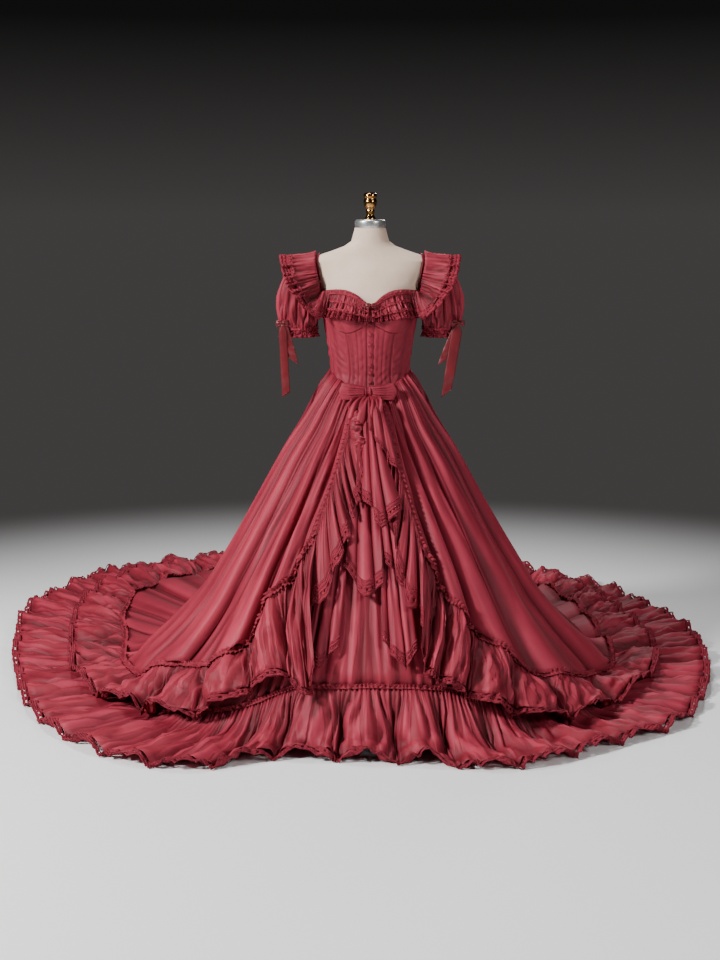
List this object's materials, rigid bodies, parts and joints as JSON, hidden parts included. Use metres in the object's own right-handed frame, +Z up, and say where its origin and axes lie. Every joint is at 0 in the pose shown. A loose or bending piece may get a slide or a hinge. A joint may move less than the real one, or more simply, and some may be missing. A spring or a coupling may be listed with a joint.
{
  "type": "ball gown on a dress form",
  "caption": "Ball gown with puff sleeves, ruffled neckline, open pleated overskirt, lace-edged flounces and round train, on a limbless dress form with a stand.",
  "frame": {"origin": "centre of the stand's base where it rests on the floor", "axes": "+Z up, -Y the way the gown's front faces, +Y along the train, +X to the viewer's right in the picture"},
  "size_m": [2.5295, 2.5727, 1.595],
  "materials": {
    "cloth": "rose-red woven cotton with a soft sheen",
    "lace": "darker rose-red lace edging",
    "ribbon": "rose-red satin ribbon",
    "form_cover": "warm off-white cover stretched smooth over the form",
    "cap": "polished silver-coloured neck cap",
    "finial": "glossy turned finial, amber to brass",
    "stand": "dark satin paint"
  },
  "bodies": {
    "root": {"form_stand": "stand", "form_torso": "form_cover", "form_neck_cap": "cap", "form_finial": "finial", "bodice_front_left": "cloth", "bodice_front_right": "cloth", "bodice_side_front_left": "cloth", "bodice_side_front_right": "cloth", "bodice_side_left": "cloth", "bodice_side_right": "cloth", "bodice_back_left": "cloth", "bodice_back_right": "cloth", "cup_left": "cloth", "cup_right": "cloth", "button_placket": "cloth", "button_1": "cloth", "button_2": "cloth", "button_3": "cloth", "button_4": "cloth", "button_5": "cloth", "button_6": "cloth", "button_7": "cloth", "strap_left": "cloth", "strap_right": "cloth", "neck_ruffle_left": "cloth", "neck_ruffle_right": "cloth", "sleeve_left": "cloth", "sleeve_right": "cloth", "sleeve_frill_left": "lace", "sleeve_frill_right": "lace", "sleeve_bow_left": "ribbon", "sleeve_bow_right": "ribbon", "neck_bow": "ribbon", "waist_bow": "ribbon", "overskirt_front_left": "cloth", "overskirt_front_right": "cloth", "overskirt_back_left": "cloth", "overskirt_back_right": "cloth", "flounce_front_left": "cloth", "flounce_front_right": "cloth", "flounce_train_left": "cloth", "flounce_train_right": "cloth", "cascade_left": "cloth", "cascade_right": "cloth", "jabot_upper": "cloth", "jabot_lower": "cloth", "underskirt_front": "cloth", "underskirt_back_left": "cloth", "underskirt_back_right": "cloth", "hem_ruffle_front_left": "cloth", "hem_ruffle_front_right": "cloth", "hem_ruffle_back_left": "cloth", "hem_ruffle_back_right": "cloth", "hem_lace_front_left": "lace", "hem_lace_front_right": "lace", "hem_lace_back_left": "lace", "hem_lace_back_right": "lace"}
  },
  "joints": []
}
